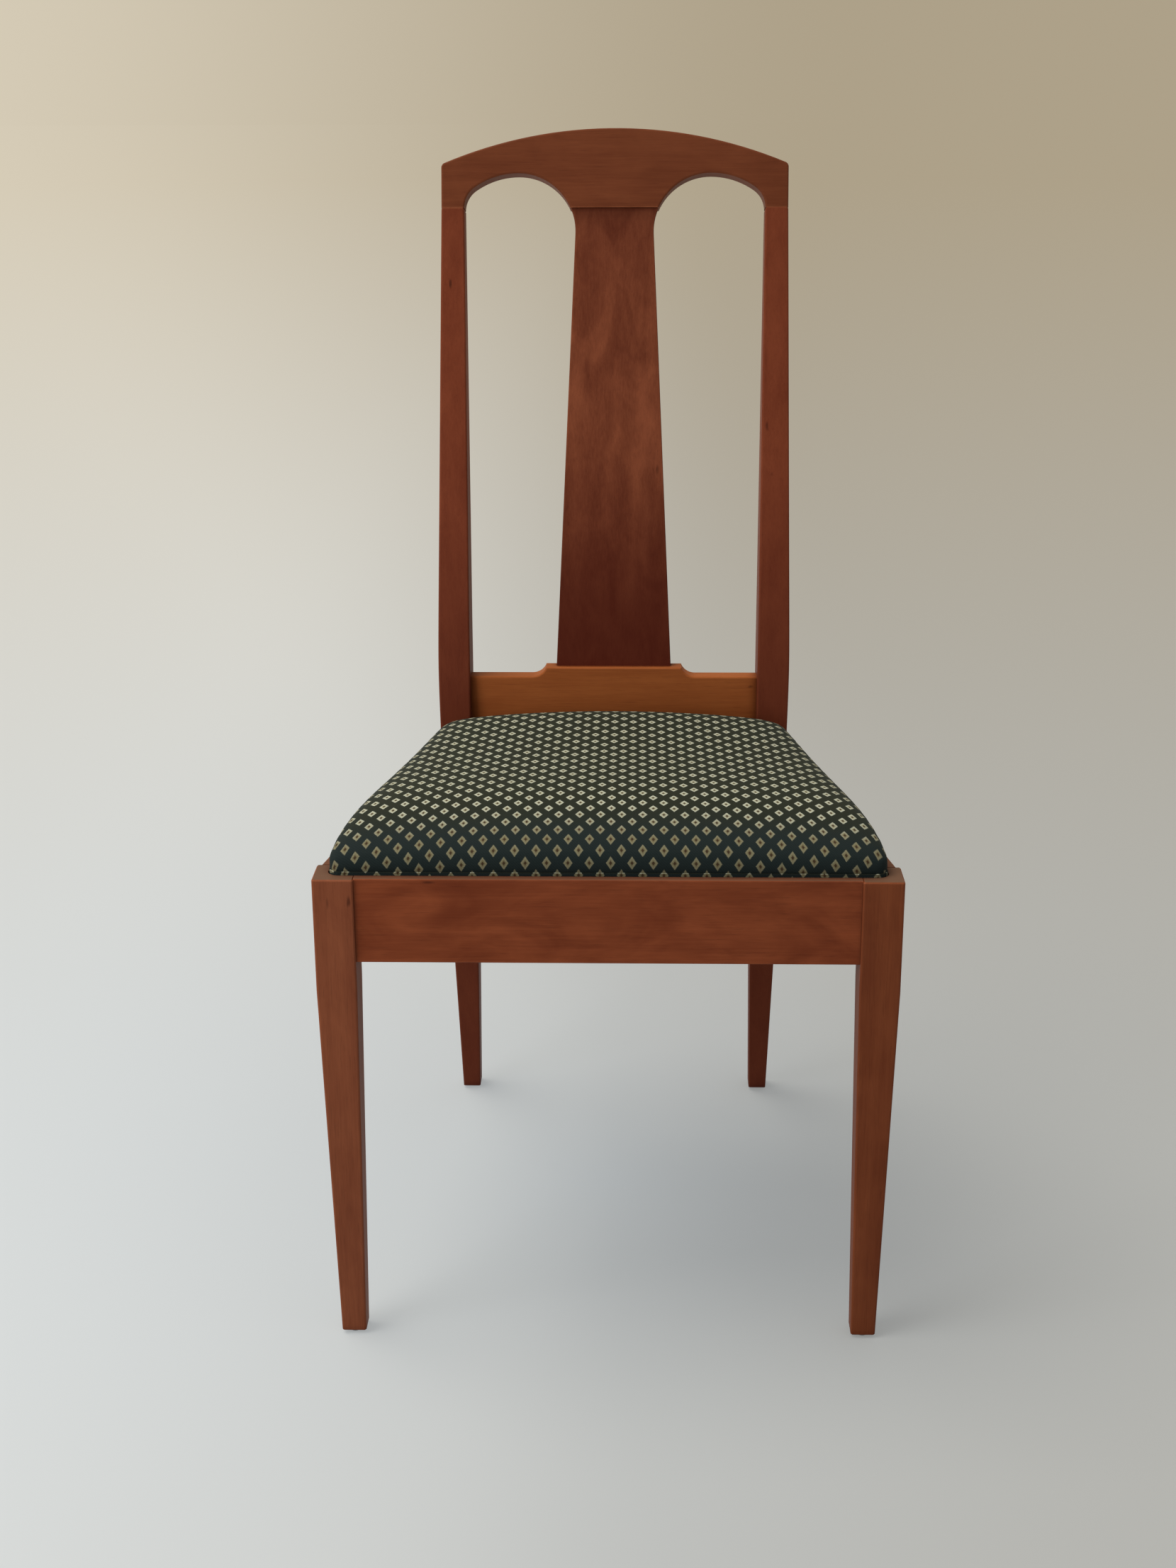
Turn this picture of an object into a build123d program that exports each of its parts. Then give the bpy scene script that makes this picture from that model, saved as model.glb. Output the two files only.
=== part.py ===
from build123d import *
from math import cos, hypot, radians, sin, sqrt, tan
import os

# Wooden side chair with a drop-in seat. Sizes in millimetres.
# X runs across the chair, Y from front to back, Z up from the floor.
# The pieces are drawn with Y = 0 at the front of the front legs and X = 0 on the centre line.
# Left and right are as seen from the front, so right is +X.

# Overall sizes
seat_height = 434.0  # floor to the top of the seat rails
front_width = 491.0  # over the front legs
seat_depth = 414.0  # front of the legs to the front of the back posts
joint_height = 940.0  # front edge of the joint between posts and crest rail
back_rake = 13.0  # lean of the back, degrees from upright

# Front legs
leg_width = 34.5
leg_depth = 36.5
leg_foot = 21.5  # square foot
leg_outer_taper = 8.5  # how far the outer face comes in at the foot
leg_straight = 100.0  # untapered length below the seat height
edge_round = 2.0  # eased edges of the show wood

# Back posts, seen from the front: half widths of the back, and the posts' own widths
back_width_foot = 333.0
back_width_seat = 352.0
back_width_top = 340.0
post_width_foot = 18.5
post_width_seat = 32.0
post_width_top = 22.5
post_knee_height = 175.0  # below this the inner face leans outwards
post_widest_height = 500.0

# Back posts, seen from the side
post_depth_foot = 24.0
post_depth_seat = 46.0
post_depth_top = 25.0
post_splay = 68.0  # how far back the foot stands from the seat
post_bend_low = 330.0  # heights where the straight runs meet
post_bend_high = 490.0
post_bend_radius = 650.0
post_side_radius = 1400.0

# Crest rail, measured up its own face from the joint
crest_corner_rise = 42.0
crest_apex_rise = 76.0
crest_corner_round = 5.0
arch_crown_rise = 33.0
arch_flank_radius = 56.0  # side of the arch that runs into the splat
arch_post_radius = 24.0  # tight curve beside the post

# Splat and shoe rail
splat_waist = 77.0
splat_foot_width = 115.0
splat_thickness = 10.0
splat_recess = 5.0  # behind the front of the crest rail
shoe_low_rise = 54.5  # above the seat rails
shoe_high_rise = 64.0
shoe_high_width = 136.0
shoe_cove_run = 14.0
shoe_thickness = 18.0
shoe_to_splat = 6.0  # front of the shoe rail to the front of the splat

# Seat rails
rail_height = 75.0
rail_thickness = 22.0
rear_rail_thickness = 28.0
front_rail_setback = 3.0
side_rail_inset = 4.0  # from the outer faces of leg and post
rear_rail_setback = 3.0

# Rebate for the seat
recess_depth = 11.0
front_lip = 8.0
side_lip = 10.0
recess_corner_front = 10.0
recess_corner_rear = 70.0
recess_back_gap = 1.5  # rebate edge to the face of the shoe rail

# Tenons and dowels
tenon_thickness = 9.0
tenon_shoulder = 9.0  # rail edge to tenon edge
tenon_top_cover = 8.0  # wood left between tenon and rebate
front_tenon = 20.0
side_tenon_front = 14.0
side_tenon_rear = 20.0
rear_tenon = 10.0
shoe_tenon = 16.0
shoe_tenon_shoulder = 8.0
splat_tenon = 15.0
splat_tenon_thickness = 6.0
splat_tenon_shoulder = 9.0
splat_tenon_root = 5.0  # length of the tenon inside the splat itself
dowel_diameter = 7.0
dowel_length = 44.0
dowel_spacing = 12.0
glue_gap = 0.1

# Corner blocks and their screws
block_reach = 60.0  # along each rail from the leg or post
block_height = 42.0
block_drop = 20.0  # rail top to block top
screw_diameter = 4.0
screw_head = 8.0
screw_head_height = 2.6
screw_bite = 13.0  # length in the rail
screw_seat = 8.0  # wood of the block under the head
screw_inset = 15.0  # from the tip of the block
screw_gap = 0.2

# Loose seat
seat_gap = 0.7  # cover to the wall of the rebate
seat_rest_gap = 0.3
cover_thickness = 1.2
fill_gap = 0.3  # between cover and filling
board_thickness = 10.0
crown_front = 42.0  # rise of the pad above its board, front and back
crown_rear = 27.0
pad_shoulder = 60.0  # from the edge of the pad in to its flat crown
pad_fullness = 3.0  # 2 is an elliptical edge, more is squarer
pad_steps = 6
skirt_lift = 0.7  # lower edge of the cover above the bottom of the board
dust_cover_thickness = 0.6
dust_cover_inset = 19.0
dust_cover_corner = 46.0
tack_head = 5.0
tack_head_height = 0.8
tack_pin = 1.4
tack_pin_length = 6.0
tack_edge = 7.0
tack_pitch = 74.0

# Floor glides
glide_height = 3.0
glide_diameter = 14.0
glide_round = 1.6
glide_nail = 2.4
glide_nail_length = 14.0

# Cylinders that stand on their base, or hang from it
standing = (Align.CENTER, Align.CENTER, Align.MIN)
hanging = (Align.CENTER, Align.CENTER, Align.MAX)

rake_sin = sin(radians(back_rake))
rake_cos = cos(radians(back_rake))
half_front = front_width / 2
half_seat = back_width_seat / 2
half_top = back_width_top / 2
rail_bottom = seat_height - rail_height
recess_floor = seat_height - recess_depth
tenon_bottom = rail_bottom + tenon_shoulder
tenon_top = recess_floor - tenon_top_cover

# The front faces of the posts and of the crest rail lie in one raked plane
joint_y = seat_depth + (joint_height - post_bend_high) * tan(radians(back_rake))
crest_face = Plane((0, joint_y, joint_height), x_dir=(1, 0, 0), z_dir=(0, -rake_cos, rake_sin))
apex_y = joint_y + crest_apex_rise * rake_sin
overall_depth = apex_y + post_depth_top * rake_cos

rear_rail_front = seat_depth + rear_rail_setback
rear_rail_back = rear_rail_front + rear_rail_thickness
shoe_front = rear_rail_back - shoe_thickness
recess_front = front_rail_setback + front_lip
recess_back = shoe_front - recess_back_gap
rear_inner = half_seat - post_width_seat

# The outer face of a side rail runs from the leg to the post
side_front = (half_front - side_rail_inset, leg_depth)
side_rear = (half_seat - side_rail_inset, seat_depth)
side_length = hypot(side_front[0] - side_rear[0], side_rear[1] - side_front[1])
side_lean = (side_front[0] - side_rear[0]) / (side_rear[1] - side_front[1])
side_cos = (side_rear[1] - side_front[1]) / side_length
side_sin = side_lean * side_cos


def side_line(y, inset):
    """X of a line parallel to the side rail's outer face, a given distance inside it."""
    return side_front[0] - side_lean * (y - side_front[1]) - inset / side_cos


def block(x0, x1, y0, y1, z0, z1):
    """Box between two corners."""
    size = Box(x1 - x0, y1 - y0, z1 - z0, align=Align.MIN)
    return Pos(x0, y0, z0) * size


def prism(points, z0, z1):
    """Upright prism on a plan outline."""
    return Pos(0, 0, z0) * extrude(make_face(Polyline(*points, close=True)), z1 - z0)


def grown(x0, x1, y0, y1, z0, z1, gap=glue_gap):
    """Mortise for a tenon given by the same corners."""
    return block(x0 - gap, x1 + gap, y0 - gap, y1 + gap, z0 - gap, z1 + gap)


def flip(shape):
    """The same piece on the left side of the chair."""
    return mirror(shape, about=Plane.YZ)


# Rounded outline of the seat, a given distance inside the walls of the rebate
def seat_outline(inset, corner_front, corner_rear):
    front = recess_front + inset
    back = recess_back - inset
    edge = side_lip + inset
    corners = [
        (side_line(front, edge), front),
        (side_line(back, edge), back),
        (-side_line(back, edge), back),
        (-side_line(front, edge), front),
    ]
    radii = [corner_front, corner_rear, corner_rear, corner_front]
    return make_face(FilletPolyline(*corners, radius=radii, close=True))


def seat_slab(inset, z0, z1):
    outline = seat_outline(inset, recess_corner_front - inset, recess_corner_rear - inset)
    return Pos(0, 0, z0) * extrude(outline, z1 - z0)


recess = seat_slab(0, recess_floor, seat_height + recess_depth)

# Tenon corners: x0, x1, y0, y1, z0, z1 on the right side
front_tenon_y = front_rail_setback + (rail_thickness - tenon_thickness) / 2
leg_inner = half_front - leg_width
front_tenon_box = (leg_inner, leg_inner + front_tenon, front_tenon_y, front_tenon_y + tenon_thickness,
                   tenon_bottom, tenon_top)


def side_tenon_box(y_shoulder, y_end):
    middle = side_line(y_shoulder, rail_thickness / 2)
    low, high = sorted((y_shoulder, y_end))
    return (middle - tenon_thickness / 2, middle + tenon_thickness / 2, low, high, tenon_bottom, tenon_top)


side_front_box = side_tenon_box(leg_depth, leg_depth - side_tenon_front)
side_rear_box = side_tenon_box(seat_depth, seat_depth + side_tenon_rear)
rear_tenon_y = rear_rail_front + (rear_rail_thickness - tenon_thickness) / 2
rear_tenon_box = (rear_inner, rear_inner + rear_tenon, rear_tenon_y, rear_tenon_y + tenon_thickness,
                  tenon_bottom, tenon_top)
shoe_tenon_y = shoe_front + (shoe_thickness - tenon_thickness) / 2
shoe_tenon_box = (rear_inner, rear_inner + shoe_tenon, shoe_tenon_y, shoe_tenon_y + tenon_thickness,
                  seat_height + shoe_tenon_shoulder, seat_height + shoe_low_rise - shoe_tenon_shoulder)


def long_edges(piece, least):
    """Edges that run mostly upwards, to be eased."""
    return [e for e in piece.edges() if abs((e @ 1 - e @ 0).Z) > least]


def glide_hole(x, y):
    depth = glide_nail_length + 2 * glue_gap
    hole = Cylinder(glide_nail / 2 + glue_gap, depth, align=standing)
    return Pos(x, y, glide_height) * hole


# Front leg: square at the seat, tapered to a small foot
leg_foot_outer = half_front - leg_outer_taper
leg_foot_middle = (leg_foot_outer - leg_foot / 2, leg_foot / 2)


def front_leg():
    taper_top = seat_height - leg_straight
    top = Pos(half_front - leg_width / 2, leg_depth / 2) * Rectangle(leg_width, leg_depth)
    foot = Pos(*leg_foot_middle) * Rectangle(leg_foot, leg_foot)
    lower = loft([Pos(0, 0, glide_height) * foot, Pos(0, 0, taper_top) * top], ruled=True)
    leg = lower + Pos(0, 0, taper_top) * extrude(top, leg_straight)
    leg = fillet(long_edges(leg, edge_round), edge_round)
    rim = leg.faces().sort_by(Axis.Z)[-1].edges() + leg.faces().sort_by(Axis.Z)[0].edges()
    leg = chamfer(rim, edge_round / 2)
    leg -= recess
    leg -= grown(*front_tenon_box)
    leg -= grown(*side_front_box)
    return leg - glide_hole(*leg_foot_middle)


# Back post: the side outline and the front outline are sawn from one blank
foot_y = seat_depth + post_splay
joint_back = (joint_y + post_depth_top * rake_cos, joint_height - post_depth_top * rake_sin)
post_foot_middle = ((back_width_foot - post_width_foot) / 2, foot_y + post_depth_foot / 2)


def back_post():
    front = FilletPolyline((foot_y, glide_height), (seat_depth, post_bend_low),
                           (seat_depth, post_bend_high), (joint_y, joint_height), radius=post_bend_radius)
    seat_back = seat_depth + post_depth_seat
    back = FilletPolyline((foot_y + post_depth_foot, glide_height), (seat_back, post_bend_low),
                          (seat_back, post_bend_high), joint_back, radius=post_bend_radius)
    ends = [Line(front @ 0, back @ 0), Line(front @ 1, back @ 1)]
    side_view = Plane.YZ * make_face([front, back] + ends)
    outer = FilletPolyline((back_width_foot / 2, glide_height), (half_seat, post_widest_height),
                           (half_top, joint_height), radius=post_side_radius)
    inner = FilletPolyline((back_width_foot / 2 - post_width_foot, glide_height),
                           (rear_inner, post_knee_height), (rear_inner, post_widest_height),
                           (half_top - post_width_top, joint_height), radius=post_side_radius)
    ends = [Line(outer @ 0, inner @ 0), Line(outer @ 1, inner @ 1)]
    front_view = Plane.XZ * make_face([outer, inner] + ends)
    post = extrude(side_view, back_width_seat) & extrude(front_view, -2 * overall_depth)
    post = fillet(long_edges(post, edge_round), edge_round)
    post -= grown(*side_rear_box)
    post -= grown(*rear_tenon_box)
    post -= grown(*shoe_tenon_box)
    post -= glide_hole(*post_foot_middle)
    return post - [dowel(place, glue_gap) for place in dowel_places]


# Dowels stand square to the joint at the top of each post
dowel_x = half_top - post_width_top / 2
dowel_places = [(dowel_x, (side * dowel_spacing - post_depth_top) / 2) for side in (-1, 1)]


def dowel(place, gap=0.0):
    peg = Rot(X=90) * Cylinder(dowel_diameter / 2 + gap, dowel_length + 2 * gap)
    return crest_face * Pos(place[0], 0, place[1]) * peg


# Crest rail: outline drawn on its front face, U across and V up from the joint
crown_u = splat_waist / 2 + arch_flank_radius
spring_u = half_top - post_width_top


def arc_through(start, centre, radius, end):
    """Circular arc from start to end about a known centre."""
    mid = Vector(*start) + Vector(*end)
    out = (mid / 2 - Vector(*centre)).normalized() * radius
    return ThreePointArc(start, Vector(*centre) + out, end)


def arch_edges():
    """Right-hand arch, from the post to the neck: tight curve, crown, then the flank."""
    span = spring_u - crown_u
    rise = arch_crown_rise
    small = arch_post_radius
    crown = ((span - small) ** 2 + rise ** 2 - small ** 2) / (2 * (rise - small))
    small_centre = (spring_u - small, 0)
    crown_centre = (crown_u, rise - crown)
    away = Vector(small_centre[0] - crown_centre[0], small_centre[1] - crown_centre[1]).normalized()
    meet = Vector(*crown_centre) + away * crown
    top = (crown_u, rise)
    flank_centre = (crown_u, rise - arch_flank_radius)
    neck = (crown_u - sqrt(arch_flank_radius ** 2 - flank_centre[1] ** 2), 0)
    return [
        arc_through((spring_u, 0), small_centre, small, (meet.X, meet.Y)),
        arc_through((meet.X, meet.Y), crown_centre, crown, top),
        arc_through(top, flank_centre, arch_flank_radius, neck),
    ], neck[0], flank_centre


def crest_rail():
    arch, neck, _ = arch_edges()
    left_arch = [mirror(e, about=Plane.YZ) for e in arch]
    corner = (half_top, crest_corner_rise)
    top = ThreePointArc((-half_top, crest_corner_rise), (0, crest_apex_rise), corner)
    edges = [
        Line((spring_u, 0), (half_top, 0)),
        Line((half_top, 0), corner),
        top,
        Line((-half_top, crest_corner_rise), (-half_top, 0)),
        Line((-half_top, 0), (-spring_u, 0)),
        Line((-neck, 0), (neck, 0)),
    ]
    outline = make_face(edges + arch + left_arch)
    outline = fillet(outline.vertices().sort_by(Axis.Y)[-2:], crest_corner_round)
    board = extrude(outline, -post_depth_top)
    eased = [e for e in board.edges() if abs(e.tangent_at(0.5).Z) < 0.5 and (e @ 0.5).Y > edge_round / 2]
    board = crest_face * fillet(eased, edge_round)
    pegs = [dowel(place, glue_gap) for place in dowel_places]
    return board - pegs - [flip(peg) for peg in pegs] - splat_top_tenon(glue_gap)


# Splat: a thin tapered board between the shoe rail and the neck of the crest rail
shoe_top = seat_height + shoe_high_rise
splat_foot_y = shoe_front + shoe_to_splat
splat_head_y = joint_y + splat_recess
splat_length = hypot(splat_head_y - splat_foot_y, joint_height - shoe_top)
splat_sin = (splat_head_y - splat_foot_y) / splat_length
splat_cos = (joint_height - shoe_top) / splat_length
splat_face = Plane((0, splat_head_y, joint_height), x_dir=(1, 0, 0), z_dir=(0, -splat_cos, splat_sin))


def splat_tenon_at(v0, v1, width, gap):
    """Tenon in the middle of the splat's thickness, between two heights on its face."""
    size = Box(width + 2 * gap, v1 - v0 + 2 * gap, splat_tenon_thickness + 2 * gap)
    return splat_face * Pos(0, (v0 + v1) / 2, -splat_thickness / 2) * size


def splat_top_tenon(gap=0.0):
    neck = arch_edges()[1]
    return splat_tenon_at(-splat_tenon_root, splat_tenon, 2 * (neck - splat_tenon_shoulder), gap)


def splat_foot_tenon(gap=0.0):
    width = splat_foot_width - 2 * splat_tenon_shoulder
    return splat_tenon_at(-splat_length - splat_tenon, -splat_length + splat_tenon_root, width, gap)


def splat():
    _, neck, centre = arch_edges()
    lean = (splat_foot_width - splat_waist) / 2 / (splat_length + centre[1])
    slip = arch_flank_radius * lean / sqrt(1 + lean ** 2)
    waist = (centre[0] - sqrt(arch_flank_radius ** 2 - slip ** 2), centre[1] - slip)
    foot = (splat_foot_width / 2, -splat_length)
    flank = arc_through((neck, 0), centre, arch_flank_radius, waist)
    right = [flank, Line(waist, foot)]
    left = [mirror(e, about=Plane.YZ) for e in right]
    ends = [Line((-neck, 0), (neck, 0)), Line((-foot[0], foot[1]), foot)]
    board = extrude(make_face(right + left + ends), -splat_thickness)
    eased = [e for e in board.edges() if abs(e.tangent_at(0.5).X) < 0.9 and abs(e.tangent_at(0.5).Z) < 0.5]
    board = splat_face * fillet(eased, edge_round / 2)
    under_crest = crest_face * Pos(0, splat_waist / 2) * Box(front_width, splat_waist, 4 * post_depth_top)
    under_shoe = block(-half_front, half_front, 0, overall_depth, 0, shoe_top)
    return board - under_crest - under_shoe + splat_top_tenon() + splat_foot_tenon()


# Shoe rail: raised in the middle, with a cove down to each low end
def shoe_rail():
    low = seat_height + shoe_low_rise
    step = shoe_high_rise - shoe_low_rise
    cove = (shoe_cove_run ** 2 + step ** 2) / (2 * step)
    start = (shoe_high_width / 2, shoe_top)
    end = (shoe_high_width / 2 + shoe_cove_run, low)
    right = [arc_through(start, (end[0], low + cove), cove, end), Line(end, (rear_inner, low)),
             Line((rear_inner, low), (rear_inner, seat_height))]
    left = [mirror(e, about=Plane.YZ) for e in right]
    ends = [Line((-start[0], shoe_top), start), Line((-rear_inner, seat_height), (rear_inner, seat_height))]
    face = Plane.XZ * make_face(right + left + ends)
    rail = Pos(0, shoe_front) * extrude(face, -shoe_thickness)
    top_edges = [e for e in rail.edges() if (e @ 0.5).Z > low - edge_round / 2]
    rail = fillet([e for e in top_edges if abs(e.tangent_at(0.5).Y) < 0.5], edge_round)
    tenon = block(*shoe_tenon_box)
    return rail + tenon + flip(tenon) - splat_foot_tenon(glue_gap)


# Seat rails, with the rebate for the seat cut from their tops
def front_rail():
    back = front_rail_setback + rail_thickness
    rail = block(-leg_inner, leg_inner, front_rail_setback, back, rail_bottom, seat_height)
    shown = [e for e in rail.edges().filter_by(Axis.X) if (e @ 0.5).Y < front_rail_setback + glue_gap]
    rail = fillet(shown, edge_round / 2) - recess
    tenon = block(*front_tenon_box)
    return rail + tenon + flip(tenon)


def side_rail():
    plan = [
        side_front,
        side_rear,
        (side_line(seat_depth, rail_thickness), seat_depth),
        (side_line(leg_depth, rail_thickness), leg_depth),
    ]
    rail = prism(plan, rail_bottom, seat_height)
    outside = [e for e in rail.edges() if abs((e @ 1 - e @ 0).Y) > leg_depth
               and (e @ 0.5).X > side_line((e @ 0.5).Y, rail_thickness / 2)]
    rail = fillet(outside, edge_round / 2) - recess
    return rail + block(*side_front_box) + block(*side_rear_box)


def rear_rail():
    rail = block(-rear_inner, rear_inner, rear_rail_front, rear_rail_back, rail_bottom, seat_height)
    tenon = block(*rear_tenon_box)
    return rail - recess + tenon + flip(tenon)


# Corner blocks fill the corners of the seat frame on the right side
block_top = seat_height - block_drop
block_bottom = block_top - block_height
rail_back = front_rail_setback + rail_thickness


def rail_inner(y):
    return side_line(y, rail_thickness + glue_gap)


front_block_plan = [
    (leg_inner - block_reach, rail_back + glue_gap),
    (leg_inner - glue_gap, rail_back + glue_gap),
    (leg_inner - glue_gap, leg_depth + glue_gap),
    (rail_inner(leg_depth + glue_gap), leg_depth + glue_gap),
    (rail_inner(leg_depth + block_reach), leg_depth + block_reach),
]
rear_block_plan = [
    (rear_inner - block_reach, rear_rail_front - glue_gap),
    (rear_inner - glue_gap, rear_rail_front - glue_gap),
    (rear_inner - glue_gap, seat_depth - glue_gap),
    (rail_inner(seat_depth - glue_gap), seat_depth - glue_gap),
    (rail_inner(seat_depth - block_reach), seat_depth - block_reach),
]


def screw():
    """Screw along +Z: point down, its head resting at Z = 0."""
    shank = Cylinder(screw_diameter / 2, screw_seat + screw_bite, align=hanging)
    head = Cylinder(screw_head / 2, screw_head_height, align=standing)
    return shank + head


screw_z = (block_top + block_bottom) / 2


def rail_screw(x, y, z_dir):
    """Place on a rail face, lifted by the wood under the screw's head."""
    lift = Vector(*z_dir) * (screw_seat + glue_gap)
    return Plane(Vector(x, y, screw_z) + lift, x_dir=(0, 0, 1), z_dir=z_dir)


def side_screw(y):
    return rail_screw(side_line(y, rail_thickness), y, (-side_cos, -side_sin, 0))


screw_places = [
    rail_screw(leg_inner - block_reach + screw_inset, rail_back, (0, 1, 0)),
    side_screw(leg_depth + block_reach - screw_inset),
    rail_screw(rear_inner - block_reach + screw_inset, rear_rail_front, (0, -1, 0)),
    side_screw(seat_depth - block_reach + screw_inset),
]
screws = [place * screw() for place in screw_places]


def screw_cut(place):
    """Hole for a screw, open above its head."""
    bore = Cylinder(screw_head / 2 + screw_gap, block_reach, align=standing)
    depth = screw_seat + screw_bite + screw_gap
    drill = Cylinder(screw_diameter / 2 + screw_gap, 2 * depth)
    return place * (drill + bore)


screw_cuts = [screw_cut(place) for place in screw_places]


def corner_block(plan, cuts):
    return prism(plan, block_bottom, block_top) - cuts


# Glide: a low dome on a nail
def glide(x, y):
    radius = glide_diameter / 2
    nail_end = glide_height + glide_nail_length
    profile = make_face([
        Line((0, 0), (radius - glide_round, 0)),
        RadiusArc((radius - glide_round, 0), (radius, glide_round), -glide_round),
        Polyline((radius, glide_round), (radius, glide_height), (glide_nail / 2, glide_height),
                 (glide_nail / 2, nail_end), (0, nail_end), (0, 0)),
    ])
    return Pos(x, y, 0) * revolve(Plane.XZ * profile, Axis.Z)


# Loose seat: board, foam, cover and dust cover
board_bottom = recess_floor + seat_rest_gap
board_top = board_bottom + board_thickness
board_inset = seat_gap + cover_thickness + fill_gap
pad_depth = recess_back - recess_front


def pad_section(share, inset, skin):
    """Outline of the pad at a share of its height, tilted because the pad is higher in front."""
    front = share * (crown_front - skin)
    rear = share * (crown_rear - skin)
    tilt = Rot(X=-Vector(pad_depth, front - rear).get_angle(Vector(1, 0)))
    corner_front = recess_corner_front + inset / 2
    corner_rear = recess_corner_rear + inset / 4
    outline = seat_outline(seat_gap + inset + skin, corner_front, corner_rear)
    return Pos(0, recess_front, board_top + front) * tilt * Pos(0, -recess_front, 0) * outline


def pad(skin):
    """Crowned pad with a superelliptical edge, a given skin thickness inside the face of the cover."""
    sections = []
    for step in range(pad_steps + 1):
        turn = radians(90 * step / pad_steps)
        share = sin(turn) ** (2 / pad_fullness)
        inset = pad_shoulder * (1 - abs(cos(turn)) ** (2 / pad_fullness))
        sections.append(pad_section(share, inset, skin))
    return loft(sections)


def seat_cover():
    skirt_bottom = board_bottom + skirt_lift
    skirt = seat_slab(seat_gap, skirt_bottom, board_top)
    skirt -= seat_slab(seat_gap + cover_thickness, skirt_bottom, board_top)
    return pad(0.0) - pad(cover_thickness) + skirt


def tack_places():
    """Points along the four sides of the dust cover."""
    inset = dust_cover_inset + tack_edge
    front = recess_front + inset
    back = recess_back - inset
    edge = side_lip + inset
    corners = [Vector(side_line(front, edge), front), Vector(side_line(back, edge), back),
               Vector(-side_line(back, edge), back), Vector(-side_line(front, edge), front)]
    places = []
    for start, end in zip(corners, corners[1:] + corners[:1]):
        run = end - start
        count = max(2, int((run.length - 2 * dust_cover_corner) / tack_pitch) + 1)
        margin = dust_cover_corner / run.length
        places += [start + run * (margin + (1 - 2 * margin) * i / (count - 1)) for i in range(count)]
    return places


def tack(place):
    head = Cylinder(tack_head / 2, tack_head_height, align=hanging)
    pin = Cylinder(tack_pin / 2, tack_pin_length, align=standing)
    return Pos(place.X, place.Y, board_bottom - dust_cover_thickness) * (head + pin)


def tack_hole(place):
    drill = Cylinder(tack_pin / 2 + glue_gap, 2 * (tack_pin_length + glue_gap))
    return Pos(place.X, place.Y, board_bottom - dust_cover_thickness) * drill


tacks = [tack(place) for place in tack_places()]
tack_holes = [tack_hole(place) for place in tack_places()]
dust_outline = seat_outline(dust_cover_inset, dust_cover_corner, recess_corner_rear)
dust_cover = Pos(0, 0, board_bottom) * extrude(dust_outline, -dust_cover_thickness) - tack_holes
seat_board = seat_slab(board_inset, board_bottom, board_top) - tack_holes

# The frame of the part is centred under the chair
centre = Pos(0, -overall_depth / 2, 0)
os.makedirs("parts", exist_ok=True)


def save(shape, node):
    export_step(centre * shape, f"parts/{node}.step")


def save_group(shapes, node):
    export_step(Compound(children=[centre * shape for shape in shapes]), f"parts/{node}.step")


def save_pair(shape, node):
    save(shape, f"{node}_right")
    save(flip(shape), f"{node}_left")


save_pair(front_leg(), "front_leg")
save_pair(back_post(), "back_post")
save_pair(side_rail() - screw_cuts, "side_seat_rail")
save_pair(corner_block(front_block_plan, screw_cuts[:2]), "corner_block_front")
save_pair(corner_block(rear_block_plan, screw_cuts[2:]), "corner_block_rear")
save_pair(glide(*leg_foot_middle), "glide_front")
save_pair(glide(*post_foot_middle), "glide_rear")
both_cuts = screw_cuts + [flip(cut) for cut in screw_cuts]
save(front_rail() - both_cuts, "front_seat_rail")
save(rear_rail() - both_cuts, "rear_seat_rail")
save(crest_rail(), "crest_rail")
save(splat(), "splat")
save(shoe_rail(), "shoe_rail")
save_group(screws + [flip(s) for s in screws], "corner_block_screws")
pegs = [dowel(place) for place in dowel_places]
save_group(pegs + [flip(peg) for peg in pegs], "crest_dowels")
save(seat_board, "seat_board")
save(pad(cover_thickness + fill_gap), "seat_foam")
save(seat_cover(), "seat_cover")
save(dust_cover, "dust_cover")
save_group(tacks, "dust_cover_tacks")
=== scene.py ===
import bpy
import numpy as np
from mathutils import Matrix, Vector
from math import cos, sin, radians


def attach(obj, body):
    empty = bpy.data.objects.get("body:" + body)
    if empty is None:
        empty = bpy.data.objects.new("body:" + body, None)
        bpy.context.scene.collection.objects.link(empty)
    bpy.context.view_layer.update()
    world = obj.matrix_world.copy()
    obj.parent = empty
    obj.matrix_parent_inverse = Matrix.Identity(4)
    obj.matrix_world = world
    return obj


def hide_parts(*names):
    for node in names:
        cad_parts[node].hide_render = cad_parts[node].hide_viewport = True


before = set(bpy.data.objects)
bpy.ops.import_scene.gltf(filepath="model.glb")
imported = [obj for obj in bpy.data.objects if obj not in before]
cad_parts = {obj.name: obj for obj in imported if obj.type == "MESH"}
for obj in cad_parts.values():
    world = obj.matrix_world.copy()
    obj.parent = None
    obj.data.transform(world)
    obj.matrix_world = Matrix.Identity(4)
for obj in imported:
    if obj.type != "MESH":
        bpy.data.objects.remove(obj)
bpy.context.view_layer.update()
scene = bpy.context.scene
scene.view_settings.view_transform = "Standard"
print("frame loaded:", len(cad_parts), "nodes")


# small helpers for shader trees

def addNode(tree, kind, inputs=None, **settings):
    node = tree.nodes.new(kind)
    for key, value in settings.items():
        setattr(node, key, value)
    for key, value in (inputs or {}).items():
        feed(tree, node.inputs[key], value)
    return node


def feed(tree, socket, value):
    if isinstance(value, bpy.types.NodeSocket):
        tree.links.new(value, socket)
    else:
        socket.default_value = value


def calc(tree, operation, a, b=0.0, c=0.0):
    node = addNode(tree, "ShaderNodeMath", {0: a, 1: b, 2: c}, operation=operation)
    return node.outputs[0]


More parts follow.
